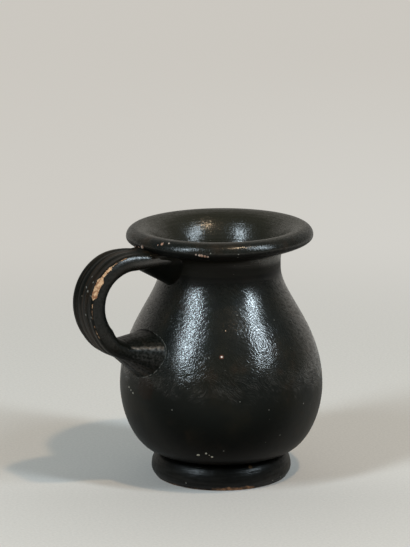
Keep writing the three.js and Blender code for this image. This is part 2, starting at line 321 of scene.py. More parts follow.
def wheel_tree():
    tree = bpy.data.node_groups.new("Turned on the wheel", "GeometryNodeTree")
    for title, kind in WHEEL_INPUTS:
        tree.interface.new_socket(title, in_out="INPUT", socket_type=kind)
    tree.interface.new_socket("Piece", in_out="OUTPUT", socket_type="NodeSocketGeometry")

    def add(kind, settings=None, inputs=None):
        made = tree.nodes.new(kind)
        for key, value in (settings or {}).items():
            setattr(made, key, value)
        for key, value in (inputs or {}).items():
            if isinstance(value, bpy.types.NodeSocket):
                tree.links.new(value, made.inputs[key])
            else:
                made.inputs[key].default_value = value
        return made

    def maths(operation, a, b=0.0):
        return add("ShaderNodeMath", {"operation": operation}, {0: a, 1: b}).outputs[0]

    given = add("NodeGroupInput").outputs
    count = add("GeometryNodeAttributeDomainSize", {}, {0: given["Outline"]}).outputs["Point Count"]
    columns = maths("ADD", given["Steps Around"], 1)
    grid = add("GeometryNodeMeshGrid", {}, {
        "Size X": 1.0, "Size Y": 1.0, "Vertices X": count, "Vertices Y": columns})
    position = add("GeometryNodeInputPosition").outputs[0]
    where = add("ShaderNodeSeparateXYZ", {}, {0: position}).outputs
    last = maths("SUBTRACT", count, 1)
    row = maths("ROUND", maths("MULTIPLY", maths("ADD", where["X"], 0.5), last))
    angle = maths("MULTIPLY", maths("ADD", where["Y"], 0.5), math.tau)
    outline_point = add("GeometryNodeSampleIndex", {"data_type": "FLOAT_VECTOR"}, {
        0: given["Outline"], "Value": position, "Index": row})
    point = add("ShaderNodeSeparateXYZ", {}, {0: outline_point.outputs[0]}).outputs
    turned = add("ShaderNodeCombineXYZ", {}, {
        0: maths("ADD", given["Axis X"], maths("MULTIPLY", point["X"], maths("COSINE", angle))),
        1: maths("MULTIPLY", point["X"], maths("SINE", angle)),
        2: point["Z"]})
    bent = add("GeometryNodeSetPosition", {}, {0: grid.outputs["Mesh"], "Position": turned.outputs[0]})
    closed = add("GeometryNodeMergeByDistance", {}, {0: bent.outputs[0], "Distance": MERGE_DISTANCE})
    real = add("GeometryNodeRealizeInstances", {}, {0: closed.outputs[0]})
    painted = add("GeometryNodeSetMaterial", {}, {0: real.outputs[0], "Material": given["Finish"]})
    add("NodeGroupOutput", {}, {0: painted.outputs[0]})
    return tree


WHEEL = wheel_tree()
print("wheel tree:", len(WHEEL.nodes), "nodes")

# %% [markdown]
# The pot leans. It was luted a little off upright, so the mouth sits 0.7 mm towards the handle's side of
# the photograph and its plane dips that way. One smooth shift, nothing at the foot and growing upwards,
# is applied to every finished mesh, so that the pieces stay together.

# %% The lean
LEAN_PIXELS, BOW_PIXELS, MOUTH_TILT = -1.87, 0.69, 0.0102
LEAN_HEIGHT = 250 * MM_PER_PIXEL
TILT_FROM, TILT_OVER = 200 * MM_PER_PIXEL, 40 * MM_PER_PIXEL


def leaned(points):
    """Points in millimetres, shifted by the pot's lean."""
    right = np.array(toward_right)
    share = np.clip(points[:, 2] / LEAN_HEIGHT, 0, 1.2)
    shift = (LEAN_PIXELS * share + BOW_PIXELS * 4 * share * (1 - share)) * MM_PER_PIXEL
    beside = (points - [AXIS_X / MM, 0, 0]) @ right
    dip = MOUTH_TILT * beside * np.clip((points[:, 2] - TILT_FROM) / TILT_OVER, 0, 1)
    return points + shift[:, None] * right + dip[:, None] * [0, 0, 1]


def lean_mesh(mesh):
    flat = np.empty(len(mesh.vertices) * 3)
    mesh.vertices.foreach_get("co", flat)
    moved = leaned(flat.reshape(-1, 3) / MM) * MM
    mesh.vertices.foreach_set("co", moved.ravel())
    mesh.update()


# %% [markdown]
# Every piece ends the same way. Its doubles are merged, its faces turned outwards, and it is shaded smooth
# while corners sharper than 40 degrees stay crisp. Then it is hung on the root body, and the solid that it
# stands for is hidden.

# %% Finishing a piece
CRISP_ANGLE = math.radians(40)
DOUBLES_DISTANCE = 1e-7


def tidy(mesh):
    work = bmesh.new()
    work.from_mesh(mesh)
    bmesh.ops.remove_doubles(work, verts=work.verts, dist=DOUBLES_DISTANCE)
    bmesh.ops.recalc_face_normals(work, faces=work.faces)
    open_edges = sum(1 for edge in work.edges if not edge.is_manifold)
    work.to_mesh(mesh)
    work.free()
    mesh.shade_smooth()
    mesh.set_sharp_from_angle(angle=CRISP_ANGLE)
    return open_edges


def finished(name, mesh):
    """A cleaned mesh as an object at the origin."""
    open_edges = tidy(mesh)
    mesh.name = name
    piece = bpy.data.objects.new(name, mesh)
    bpy.context.scene.collection.objects.link(piece)
    print(name, len(mesh.polygons), "faces,", open_edges, "open edges")
    return piece


def hand_over(piece, node):
    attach(piece, "root")
    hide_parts(node)


# %% [markdown]
# Each turned piece goes the same way: its outline becomes a row of points, the wheel tree turns it, and
# the evaluated result is kept as a plain mesh, so that no live modifier is left on the piece.

# %% Turning a piece
STEPS_AROUND = 256


def turn_piece(name, outline, finish):
    """An outline in millimetres, turned into a plain mesh by the wheel tree."""
    points = [(r * MM, 0, z * MM) for r, z in outline]
    row = bpy.data.meshes.new(name + "_outline")
    row.from_pydata(points, [(i, i + 1) for i in range(len(points) - 1)], [])
    maker = bpy.data.objects.new(name + "_maker", row)
    bpy.context.scene.collection.objects.link(maker)
    modifier = maker.modifiers.new("wheel", "NODES")
    modifier.node_group = WHEEL
    values = {"Steps Around": STEPS_AROUND, "Axis X": AXIS_X, "Finish": finish}
    for item in WHEEL.interface.items_tree:
        if item.in_out == "INPUT" and item.name in values:
            modifier[item.identifier] = values[item.name]
    evaluated = maker.evaluated_get(bpy.context.evaluated_depsgraph_get())
    mesh = bpy.data.meshes.new_from_object(evaluated)
    bpy.data.objects.remove(maker)
    lean_mesh(mesh)
    return finished(name, mesh)


# %% [markdown]
# The handle is a pulled strap of clay. Its middle line runs out under the lip, round one finger and back
# down to the belly. Circles joined end to end would show their joints, so it is drawn by how far it has
# turned at each distance along it, and summed up from small steps.

# %% The strap's line
handle_low, handle_high = (np.array(corner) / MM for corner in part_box("handle"))
HANDLE_OUT = AXIS_X / MM - handle_low[0]
STRAP_THICKNESS, LOOP_RADIUS = 5.3, 15.9
LINE_START, LINE_TOP = NECK - WALL, handle_high[2] - STRAP_THICKNESS / 2
TOP_RUN = HANDLE_OUT - STRAP_THICKNESS / 2 - LOOP_RADIUS - LINE_START
LOOSER_AT, ROOT_AT, LINE_END = TOP_RUN + 29.1, TOP_RUN + 43.0, TOP_RUN + 60
LINE_TURNS = [(TOP_RUN, 0), (LOOSER_AT, 105), (ROOT_AT + 3.8, 160), (LINE_END, 176)]  # run, degrees
FINE_STEP, STRAIGHT_BEFORE = 0.02, 30
LINE_RUN = np.arange(-STRAIGHT_BEFORE, LINE_END, FINE_STEP)
LINE_TURN = np.radians(np.interp(LINE_RUN, *zip(*LINE_TURNS)))
LINE_OUT = LINE_START + LINE_RUN[0] + np.cumsum(np.cos(LINE_TURN)) * FINE_STEP
LINE_HEIGHT = LINE_TOP - np.cumsum(np.sin(LINE_TURN)) * FINE_STEP


def line_at(distance):
    """Out from the axis, height, and turn so far, at a distance along the strap's middle line."""
    return [np.interp(distance, LINE_RUN, kept) for kept in (LINE_OUT, LINE_HEIGHT, LINE_TURN)]


print("strap's line:", round(LINE_END, 1), "mm long, loop", LOOP_RADIUS, "mm in radius")

# %% [markdown]
# The section is a soft oblong, flatter and crisper on its outer face, and a superellipse gives both kinds
# of corner from one formula. It changes along the strap. Four tables give, at distances along the line,
# how thick it is on the finger's side and on the outer side, and how square each side is. Three flutes,
# each told by its place across, its width and its depth, are the marks of the potter's fingers.

# %% The strap's section
INNER_SIDE = [(0, 3.6), (TOP_RUN, 3.7), (TOP_RUN + 12, 3.9), (TOP_RUN + 22, 4.3),
              (ROOT_AT - 6, 4.8), (ROOT_AT - 1, 3.5)]
OUTER_SIDE = [(0, 3.5), (TOP_RUN + 6, 3.4), (TOP_RUN + 20, 2.9), (ROOT_AT - 14, 2.7),
              (ROOT_AT - 7, 2.9), (ROOT_AT - 1, 3.6)]
INNER_SQUARENESS = [(TOP_RUN, 2.8), (TOP_RUN + 8, 3.4), (ROOT_AT - 20, 3.2), (ROOT_AT - 2, 2.3)]
OUTER_SQUARENESS = [(TOP_RUN, 9), (TOP_RUN + 6, 12), (ROOT_AT - 14, 12), (ROOT_AT - 1, 4.0)]
SECTION_TABLES = (INNER_SIDE, OUTER_SIDE, INNER_SQUARENESS, OUTER_SQUARENESS)
STRAP_WIDTH = handle_high[1] - handle_low[1]
SIDES_OUT, SIDE_BULGE = 1.1, 0.12
STRAP_HALF = STRAP_WIDTH / 2 + SIDES_OUT
SECTION_STEPS, RIM_POINTS = 4000, 176
FLUTES = [(-3.6, 1.3, 0.34), (0.1, 1.5, 0.28), (3.7, 1.2, 0.36)]


def section_at(distance):
    """The strap's rim as rows of (towards the finger, across), in millimetres, evenly spaced."""
    inner, outer, inner_square, outer_square = (
        np.interp(distance, *zip(*table)) for table in SECTION_TABLES)
    angle = np.linspace(0, math.tau, SECTION_STEPS)
    cos, sin = np.cos(angle), np.sin(angle)
    squareness = np.where(cos > 0, inner_square, outer_square)
    toward = np.where(cos > 0, inner, outer) * np.sign(cos) * np.abs(cos) ** (2 / squareness)
    across = STRAP_HALF * np.sign(sin) * np.abs(sin) ** (2 / squareness)
    across = across * (1 - SIDE_BULGE * (toward / np.where(cos > 0, inner, outer)) ** 2)
    run = np.concatenate([[0], np.cumsum(np.hypot(np.diff(toward), np.diff(across)))])
    even = np.linspace(0, run[-1], RIM_POINTS, endpoint=False)
    toward, across = np.interp(even, run, toward), np.interp(even, run, across)
    for middle, width, depth in FLUTES:
        outward = np.clip(-toward / outer, 0, 1) ** 4
        toward = toward + depth * outward * np.exp(-((across - middle) / width) ** 2)
    return np.stack([toward, across], axis=1)


def ring_at(distance, section):
    """A section's points in space, in millimetres. The distance may differ for each point."""
    out, height, turned = line_at(distance)
    reach = out - np.sin(turned) * section[:, 0]
    rise = height - np.cos(turned) * section[:, 0]
    return np.stack([AXIS_X / MM - reach, section[:, 1], rise], axis=1)


print("strap:", round(STRAP_HALF * 2, 1), "mm wide,", RIM_POINTS, "points round its rim")

# %% [markdown]
# Where the strap meets the pot, the potter smooths soft clay into the corner, so the wall's shape is
# needed there. The wall is the outline again, and a place on it is given by a run along the outline and
# a distance across. Each line of the strap's rim is followed until it meets the wall.

# %% Places on the wall
WALL_LINE = np.vstack([body_outside(), mouth_outside()])
WALL_RUN = np.concatenate([[0], np.cumsum(np.linalg.norm(np.diff(WALL_LINE, axis=0), axis=1))])
NUDGE = 0.4


def on_wall(run, across):
    radius = np.interp(run, WALL_RUN, WALL_LINE[:, 0])
    height = np.interp(run, WALL_RUN, WALL_LINE[:, 1])
    out = np.sqrt(radius ** 2 - across ** 2)
    return np.stack([AXIS_X / MM - out, across, height], axis=1)


def unit(vectors):
    return vectors / np.linalg.norm(vectors, axis=1)[:, None]


def wall_ways(run, across):
    """The ways up the wall, across it and out of it."""
    up_way = unit(on_wall(run + NUDGE, across) - on_wall(run - NUDGE, across))
    across_way = unit(on_wall(run, across + NUDGE) - on_wall(run, across - NUDGE))
    return up_way, across_way, unit(np.cross(up_way, across_way))


def meetings(start, way):
    """For each rim point, the distance along the strap at which it meets the wall, walking one way."""
    section = section_at(start)
    distances = start + way * np.arange(0, 40, 0.05)
    found = np.full(len(section), distances[-1])
    settled = np.zeros(len(section), bool)
    for distance in distances:
        points = ring_at(distance, section)
        radius = np.hypot(points[:, 0] - AXIS_X / MM, points[:, 1])
        outside = radius - np.interp(points[:, 2], WALL_LINE[:, 1], WALL_LINE[:, 0])
        fresh = ~settled & (outside <= 0)
        found[fresh] = distance
        settled |= fresh
    return found


print("wall:", len(WALL_LINE), "points,", round(WALL_RUN[-1], 1), "mm from foot to lip")

# %% [markdown]
# The smoothed clay could be a sphere blended into both, but its edge on the pot is a clear thin arc, and
# that is easier to place with curves. From every point of the strap's rim a cubic curve leaves along the
# strap and lands on the wall, running along the wall. The landing places form a soft oval pad.

# %% The pad on the wall
def pad_on_wall(met_runs, rising, sideways, pad):
    """The pad's oval edge on the wall, the way it runs out there and the way off the wall. pad says how far
    from the joint's middle the clay lands below, beside and above, with the squareness of its lower and
    upper half. rising and sideways tell which part of the edge each point belongs to, from -1 to 1."""
    below, beside, above, square_below, square_above = pad
    squareness = np.where(rising > 0, square_above, square_below)
    middle, half = (met_runs.min() + met_runs.max()) / 2, STRAP_HALF + beside
    low, high = met_runs.min() - below, met_runs.max() + above
    reach = np.where(rising > 0, high - middle, middle - low)
    run = middle + reach * np.sign(rising) * np.abs(rising) ** (2 / squareness)
    across = half * np.sign(sideways) * np.abs(sideways) ** (2 / squareness)
    up_way, across_way, out_way = wall_ways(run, across)
    spread = unit(np.stack([(run - middle) / reach ** 2, across / half ** 2], axis=1))
    running_out = unit(up_way * spread[:, :1] + across_way * spread[:, 1:])
    return on_wall(run, across), running_out, out_way


# %% The smoothed joint
HANDLE_SHARE = 0.7      # how far each end of a curve pulls it straight, against the curve's length
A_LITTLE = 0.1


def joint_rings(start, way, lead, pad, steps=28, first=8, edge=0.05, sink=0.6):
    """Rings from the strap to the wall. way is 1 or -1, for the strap's line followed on or back, and lead
    says how far before the wall the clay leaves the strap, at its outer, near and inner sides."""
    section = section_at(start)
    met = meetings(start, way)
    hit = ring_at(met, section)
    turn = np.linspace(0, math.tau, len(section), endpoint=False)
    cos, sin = np.cos(turn), np.sin(turn)
    met_runs = np.interp(hit[:, 2], WALL_LINE[:, 1], WALL_RUN)
    landing, running_out, out_way = pad_on_wall(met_runs, cos * way, sin, pad)
    spread_by = np.linalg.norm(landing - hit, axis=1)
    lead_outer, lead_side, lead_inner = lead
    lead_by = lead_side + (np.where(cos > 0, lead_inner, lead_outer) - lead_side) * cos ** 2
    leaving = met - way * lead_by
    leave = ring_at(leaving, section)
    heading = unit(ring_at(leaving + way * A_LITTLE, section) - leave)
    landing = landing + out_way * edge
    first_handle = leave + heading * (lead_by * HANDLE_SHARE)[:, None]
    second_handle = landing - running_out * (spread_by * HANDLE_SHARE)[:, None]
    rings = [ring_at(between(start, leaving, i / first), section) for i in range(first)]
    for t in np.linspace(0, 1, steps + 1):
        rings.append((1 - t) ** 3 * leave + 3 * (1 - t) ** 2 * t * first_handle
                     + 3 * (1 - t) * t ** 2 * second_handle + t ** 3 * landing)
    rings.append(landing + running_out * edge * 0.5 - out_way * edge)
    rings.append(landing - out_way * (edge + sink))
    return rings


# %% [markdown]
# Rings become a mesh when each is joined to the next. The strap's finish needs to know where it is on
# the strap, so every point keeps that in an attribute, which its node material reads back.

# %% Skins over rings
def skin(name, rings, finish, marks, closed=False, rim_rows=()):
    """A skin over rings of points. Each point keeps its place on the strap in an attribute, as the
    distance across, the distance towards the finger and the distance along. Another one marks the rows
    where a pad of clay ends on the wall."""
    around, rows = len(rings[0]), len(rings)
    faces = []
    for r in range(rows if closed else rows - 1):
        a, b = r * around, (r + 1) % rows * around
        for i in range(around):
            j = (i + 1) % around
            faces.append((a + i, a + j, b + j, b + i))
    if not closed:
        faces.append(tuple(range(around)))
        faces.append(tuple(reversed(range((rows - 1) * around, rows * around))))
    mesh = bpy.data.meshes.new(name)
    mesh.from_pydata((leaned(np.vstack(rings)) * MM).tolist(), [], faces)
    mesh.materials.append(finish)
    kept = mesh.attributes.new("strap", "FLOAT_VECTOR", "POINT")
    kept.data.foreach_set("vector", np.vstack(marks).ravel())
    pad_rim = mesh.attributes.new("pad_rim", "FLOAT", "POINT")
    pad_rim.data.foreach_set("value", np.repeat([float(row in rim_rows) for row in range(rows)], around))
    return finished(name, mesh)


def marks_at(distance, section):
    along = np.full(len(section), distance)
    return np.stack([section[:, 1], section[:, 0], along], axis=1)


def collar(name, start, rings, way, finish, core_run=3.2, core_shrink=0.14):
    """The smoothed joint as a closed sleeve: its outside, then back inside along the strap's core."""
    section = section_at(start)
    core_end = ring_at(start + way * core_run, section * (1 - core_shrink))
    back = [between(rings[-1], core_end, share) for share in (0.3, 0.6, 0.85)]
    back += [core_end, ring_at(start + way * 0.5, section * 0.98)]
    every = rings + back
    marks = [marks_at(start + way * min(i, len(rings)) * 0.5, section) for i in range(len(every))]
    return skin(name, every, finish, marks, closed=True, rim_rows=(len(rings) - 2, len(rings) - 3))


# %% [markdown]
# The finish. Black glaze on such pots is a thin slip of fine clay, rubbed smooth with a soft tool before
# firing. It is near black, a little olive or brown where it lies thin, and glossy only where the rubbing
# was thorough. So one finish mixes two surfaces, a glossy and a dull one, and a mask says where each
# shows. Where the slip has flaked or worn off, the mask is dull and the tone is bare orange clay.

# %% Slip and clay
BLACK, OLIVE, BROWN = (0.0040, 0.0050, 0.0039), (0.0080, 0.0076, 0.0048), (0.019, 0.0115, 0.0065)
CLAY, CLAY_DEEP, GRIT = (0.56, 0.36, 0.215), (0.25, 0.115, 0.06), (0.20, 0.195, 0.175)


def place_in_mm(finish):
    """The place on a piece, in millimetres from the wheel axis."""
    there = finish.node("ShaderNodeTexCoord", {}, {}, "Object")
    return finish.scaled(finish.vector("SUBTRACT", there, (AXIS_X, 0, 0)), 1 / MM)


def cloudy(finish, place, size, detail=2):
    """Soft noise from 0 to 1, with clouds of about this size in millimetres."""
    return finish.noise(finish.scaled(place, 1 / size), detail=detail)


def slip_tone(finish, place, thin):
    """Black with olive and brown clouds. thin, from 0 to 1, says how much of it lies thin and brown."""
    broad = cloudy(finish, place, 13, detail=4)
    cloud = cloudy(finish, place, 4.5, detail=4)
    tone = finish.mix(finish.step(broad, 0.38, 0.68), BLACK, OLIVE)
    brown = finish.step(broad * 0.5 + cloud * 0.5 + thin * 0.3, 0.58, 0.80)
    return finish.mix(brown * 0.8, tone, BROWN)


def bare_tone(finish, place):
    """Fired clay where the slip has gone, deeper in patches."""
    patch = cloudy(finish, place, 1.1, detail=3)
    return finish.mix(finish.step(patch, 0.35, 0.62), CLAY_DEEP, CLAY)


# %% [markdown]
# The two surfaces share one tone and one relief. The glossy one bends light strongly, as glaze does. The
# dull one keeps only a faint sheen, so that it stays black beside bright lamps. Each finish sets its own
# faint sheen, because the foot and the handle are duller than the belly.

# %% Two surfaces in one
GLOSS_IOR, DULL_LEVEL = 1.9, 0.11
RELIEF_UNIT = MM


def fired(finish, tone, relief, gloss, gloss_rough, dull_rough, dull_level=DULL_LEVEL):
    """The finished material. relief is in millimetres, and gloss is 1 where the glossy surface shows."""
    heights = {"Strength": 1.0, "Distance": RELIEF_UNIT, "Height": relief}
    shared = {"Base Color": tone, "Normal": finish.node("ShaderNodeBump", {}, heights)}
    dull = {"Roughness": dull_rough, "Specular IOR Level": dull_level, **shared}
    bright = {"Roughness": gloss_rough, "IOR": GLOSS_IOR, **shared}
    dull = finish.node("ShaderNodeBsdfPrincipled", {}, dull)
    bright = finish.node("ShaderNodeBsdfPrincipled", {}, bright)
    finish.surface(finish.node("ShaderNodeMixShader", {}, {0: gloss, 1: dull, 2: bright}))
    print(finish.owner.name, len(finish.tree.nodes), "nodes")
    return finish.owner


# %% [markdown]
# Worn spots sit where the photograph shows them. Each is a place on the surface, a size, and a ragged
# outline from noise. A place on the wall is told by its angle from the photograph's front and its height,
# and the outline gives the radius there. Specks that are everywhere come from a Voronoi pattern instead.

# %% Worn spots and specks
FRONT = math.atan2(-away.y, -away.x)


def spots(finish, place, places, ragged):
    """A mask that is 1 on each of the places, given as (spot, size in millimetres)."""
    rough_edge = (cloudy(finish, place, 0.8) - 0.5) * (ragged * 2)
    mask = None
    for spot, size in places:
        distance = finish.length(finish.vector("SUBTRACT", place, spot)) / size + rough_edge
        found = finish.step(distance, 1.0, 0.7)
        mask = found if mask is None else mask.larger(found)
    return mask


def wall_spot(turn, height):
    """A place on the outer wall, in millimetres from the wheel axis, with the pot's lean."""
    radius = np.interp(height, WALL_LINE[:, 1], WALL_LINE[:, 0])
    angle = FRONT + math.radians(turn)
    point = [AXIS_X / MM + radius * math.cos(angle), radius * math.sin(angle), height]
    moved = leaned(np.array([point]))[0]
    return (moved[0] - AXIS_X / MM, moved[1], moved[2])


def wall_spots(finish, place, rows, ragged):
    """Spots on the outer wall, from rows of turn in degrees, height and size."""
    return spots(finish, place, [(wall_spot(turn, height), size) for turn, height, size in rows], ragged)


def specks(finish, place, spacing, size, share):
    """Small round specks: one cell of a Voronoi pattern in so many holds one."""
    cells = {"Vector": finish.scaled(place, 1 / spacing), "Scale": 1}
    distance = finish.node("ShaderNodeTexVoronoi", {}, cells, "Distance")
    colour = finish.node("ShaderNodeTexVoronoi", {}, cells, "Color")
    chosen = finish.step(finish.split(colour)[0], 1 - share, 1 - share + 0.01)
    return finish.step(distance * spacing, size, size * 0.5) * chosen


# %% [markdown]
# Burnishing strokes. Rubbing leaves short shallow grooves that lie together in patches, each patch in its
# own direction, and they break the highlights into streaks. Noise that is stretched one way looks like
# such grooves. Turning the place round the axis by an angle that grows with height makes them slant,
# without a seam at the back.

# %% Strokes
def turn_angle(finish, place):
    """The angle round the pot from the photograph's front, in degrees, growing to the right."""
    return finish.reach(place, toward_right).math("ARCTAN2", finish.reach(place, -away)) * (180 / math.pi)


def slanted(finish, place, slant, across, along):
    """Strokes that rise to the right for a negative slant, in radians a millimetre of height."""
    inputs = {"Vector": place, "Angle": finish.split(place)[2] * slant}
    turned = finish.node("ShaderNodeVectorRotate", {"rotation_type": "Z_AXIS"}, inputs)
    return finish.noise(finish.vector("MULTIPLY", turned, (across, across, along)), detail=1.2)


def whorl(finish, place, centre, spacing):
    """Rings of fine lines round one place, where the rubbing turned in circles. From 0 to 1."""
    distance = finish.length(finish.vector("SUBTRACT", place, centre))
    return (distance * (math.tau / spacing)).math("SINE", 0) * 0.5 + 0.5


def wandering(finish, place, size, reach):
    """The place, pushed about smoothly so that strokes bend."""
    push = finish.noise(finish.scaled(place, 1 / size), detail=0, output=1)
    push = finish.scaled(finish.vector("SUBTRACT", push, (0.5, 0.5, 0.5)), reach)
    return finish.vector("ADD", place, push)


# %% [markdown]
# The belly was rubbed from its widest part up to the neck and left matt below and above. On the left the
# grooves are fine and rise to the right, on the right they are coarser and circle round one place. The
# same grooves feed the relief and the gloss mask, so the highlights break up just where the grooves are.

# %% The belly's burnishing
WHORL_CENTRE, WHORL_SPACING = wall_spot(27, 57.5), 0.92
BURNISH_FROM, BURNISH_FULL = 36.0, 49.0
NECK_MATT, NECK_GLOSSY = 79.5, 75
STROKE_SLANT = 0.036


def belly_strokes(finish, place):
    """The belly's relief, its gloss, and the patches that both follow."""
    turn, height = turn_angle(finish, place), finish.split(place)[2]
    bent = wandering(finish, wandering(finish, place, 8, 4.0), 2.6, 1.3)
    patch = cloudy(finish, place, 5)
    rising = slanted(finish, bent, -STROKE_SLANT, 1.7, 0.45)
    falling = slanted(finish, bent, STROKE_SLANT, 1.6, 0.40)
    left = finish.step(turn, 0, -12)
    favour = (left - 0.5) * 0.5 + patch
    stroke = rising * finish.step(favour, 0.44, 0.56) + falling * finish.step(favour, 0.56, 0.44)
    grain = cloudy(finish, place, 0.50, detail=1)
    lines = whorl(finish, bent, WHORL_CENTRE, WHORL_SPACING)
    from_centre = finish.length(finish.vector("SUBTRACT", place, WHORL_CENTRE))
    circled = finish.step(from_centre, 20, 8) * finish.step(patch, 0.38, 0.54) * 0.85
    ragged_height = height + (patch - 0.5) * 14 + (stroke - 0.5) * 12
    rubbed = finish.step(ragged_height, BURNISH_FROM, BURNISH_FULL)
    rubbed = rubbed * finish.step(height, NECK_MATT, NECK_GLOSSY)
    relief = stroke * 0.060 + lines * circled * 0.020 + grain * (0.040 + left * 0.030)
    relief = relief * (0.15 + rubbed * 0.85) + patch * 0.08
    weave = finish.step(stroke * (0.75 - left * 0.35) + grain * (0.25 + left * 0.35), 0.40, 0.60)
    weave = weave + (finish.step(lines * 0.6 + grain * 0.4, 0.25, 0.75) - weave) * circled
    return relief, 0.03 + rubbed * (0.30 + weave * 0.55), patch


# %% [markdown]
# A few marks on the belly: one pink spot with a brown halo where the slip sprang off a grain of lime,
# grey crusts of earth above the foot and on the left, pale dots, and a brown place below the handle.

# %% The belly's marks
PINK_SPOT, PINK, HALO = (0.2, 53.4), (0.72, 0.66, 0.60), (0.13, 0.045, 0.028)
SINGED_SPOT, SINGED = (-48, 39.4, 5.0), (0.010, 0.0045, 0.002)
CRUST = (0.40, 0.385, 0.32)
CRUSTS = [(-15.5, 15.6, 0.62), (-10.0, 16.6, 0.42), (-6.3, 15.0, 0.50), (-8.0, 15.8, 0.30),
          (-64.3, 37.4, 0.38), (-61.7, 36.7, 0.32), (-59.3, 35.9, 0.38)]
PALE_DOTS = [(-7.6, 53.0, 0.26), (-28.5, 33.3, 0.32), (52.7, 32.9, 0.32), (60.3, 44.0, 0.26),
             (27.0, 33.4, 0.26), (36.7, 22.5, 0.26), (10.1, 37.4, 0.24), (12.7, 67.1, 0.28),
             (42.6, 64.0, 0.26), (1.2, 17.9, 0.3)]


def belly_tone(finish, place):
    """The belly's tone, darker towards the foot and painted darker under the lip as shade, and a mask of the
    marks, which are never glossy.
    """
    height = finish.split(place)[2]
    # Painted shade: the tone is darkened at the top of the neck, under the lip. It is also darker towards
    # the foot.
    depth = (0.40 + finish.step(height, 14, 34) * 0.60) * (1 - finish.step(height, 73, 80) * 0.6)
    tone = finish.scaled(slip_tone(finish, place, 0.15), depth)
    pink = wall_spots(finish, place, [(*PINK_SPOT, 0.42)], 0.2)
    halo = wall_spots(finish, place, [(*PINK_SPOT, 0.9)], 0.3)
    crust = wall_spots(finish, place, CRUSTS, 0.6)
    dots = wall_spots(finish, place, PALE_DOTS, 0.3)
    fine_dots = specks(finish, place, 3.0, 0.22, 0.25)
    singed = wall_spots(finish, place, [SINGED_SPOT], 0.5)
    tone = finish.mix(singed * 0.6, tone, SINGED)
    tone = finish.mix(halo * 0.75, tone, HALO)
    tone = finish.mix(dots * 0.6 + fine_dots * 0.3, tone, GRIT)
    tone = finish.mix(crust * 0.9, tone, CRUST)
    tone = finish.mix(pink, tone, PINK)
    return tone, pink.larger(crust).larger(dots)


# %% The body
def body_slip():
    finish = Finish("black_slip_body")
    place = place_in_mm(finish)
    relief, gloss, patch = belly_strokes(finish, place)
    tone, covered = belly_tone(finish, place)
    gloss_rough = 0.19 + (patch - 0.5) * 0.08
    return fired(finish, tone, relief + covered * 0.06, gloss * (1 - covered), gloss_rough, 0.46)


BODY_SLIP = body_slip()
body_outline = np.vstack([[(0, BODY_BOTTOM)], body_outside(), body_inside()])
body_wall = turn_piece("body_wall", body_outline, BODY_SLIP)
hand_over(body_wall, "body")

# %% [markdown]
# The mouth. Fine rings from the turning run round its funnel, which is glossier and browner inside than
# the lip is outside. Its underside is left dull, and its tone there is darkened as painted shade under the
# lip. The lip's edge has lost its slip in a few small chips, most of them near the handle.

# %% Mouth finish
INSIDE_TONE = (0.0135, 0.0125, 0.0072)
CHIP_DARK, CHIP_PALE = (0.30, 0.17, 0.12), (0.52, 0.44, 0.38)
LIP_CHIPS = [((-32.5, -10.4, 93.6), 0.72), ((-33.3, -9.0, 93.0), 0.4), ((-31.1, -12.8, 94.1), 0.4),
             ((-35.2, -1.0, 91.1), 0.85), ((-35.0, 1.4, 90.6), 0.5), ((-34.6, 4.4, 90.2), 0.7),
             ((-26.2, -23.2, 91.2), 0.42), ((-25.4, -24.0, 90.9), 0.62), ((-24.6, -24.7, 90.8), 0.66),
             ((-23.8, -25.4, 90.6), 0.62), ((-23.0, -26.0, 90.5), 0.5)]
LIP_DOTS = [((-22.2, -26.7, 91.9), 0.24), ((-13.5, -31.8, 91.4), 0.24), ((-13.4, -31.2, 90.2), 0.22),
            ((-20.3, -22.5, 88.3), 0.24)]


def out_from_axis(finish, place):
    return finish.length(finish.vector("MULTIPLY", place, (1, 1, 0)))


def mouth_slip():
    finish = Finish("black_slip_mouth")
    place = place_in_mm(finish)
    x, y, height = finish.split(place)
    out = out_from_axis(finish, place)
    ring_place = {0: x * 0.05, 1: y * 0.05, 2: height * 1.0 + out * 0.85}
    ringed = finish.noise(finish.node("ShaderNodeCombineXYZ", {}, ring_place), detail=3)
    patch = cloudy(finish, place, 4, detail=3)
    grain = cloudy(finish, place, 0.45)
    fine = cloudy(finish, place, 0.8)
    # under is the lip's underside: there the tone is darkened as painted shade, and the gloss is taken away.
    under = finish.step(height, 91.9, 91.0) * finish.step(out - (height - 80) * 0.3, 20.8, 21.6)
    deep = finish.step(height, 91, 84)
    inside = finish.step(out - height * 0.5, -14.0, -18.0)
    relief = ringed * 0.14 + grain * 0.05 + fine * 0.05 + patch * 0.16
    tone = finish.mix(inside, slip_tone(finish, place, 0.3), INSIDE_TONE)
    # Painted shade under the lip.
    tone = finish.scaled(tone, 1 - under * 0.6)
    chips = spots(finish, place, LIP_CHIPS, 0.6)
    dots = spots(finish, place, LIP_DOTS, 0.2)
    fine_dots = specks(finish, place, 2.6, 0.2, 0.25)
    tone = finish.mix(fine_dots * 0.3 + dots, tone, GRIT)
    tone = finish.mix(chips, tone, finish.mix(finish.step(patch, 0.4, 0.6), CHIP_DARK, CHIP_PALE))
    rubbed = 0.33 + inside * (deep * 0.34 + 0.06) + (fine - 0.5) * 0.8
    gloss = (1 - chips) * (1 - dots) * (1 - under * 0.93) * rubbed
    gloss_rough = 0.22 + (patch - 0.5) * 0.14
    return fired(finish, tone, relief - chips * 0.15, gloss, gloss_rough, 0.55)


# %% The mouth
mouth_outline = np.vstack([mouth_outside(), mouth_inside(), [(NECK, MOUTH_BOTTOM)]])
mouth_funnel = turn_piece("mouth_funnel", mouth_outline, mouth_slip())
hand_over(mouth_funnel, "mouth")

# %% [markdown]
# The foot. It is streaked level by the wheel and dull, because it was not rubbed. Its lower edge is worn
# to the clay, most of all in front, and the resting face and the recess were never covered with slip.

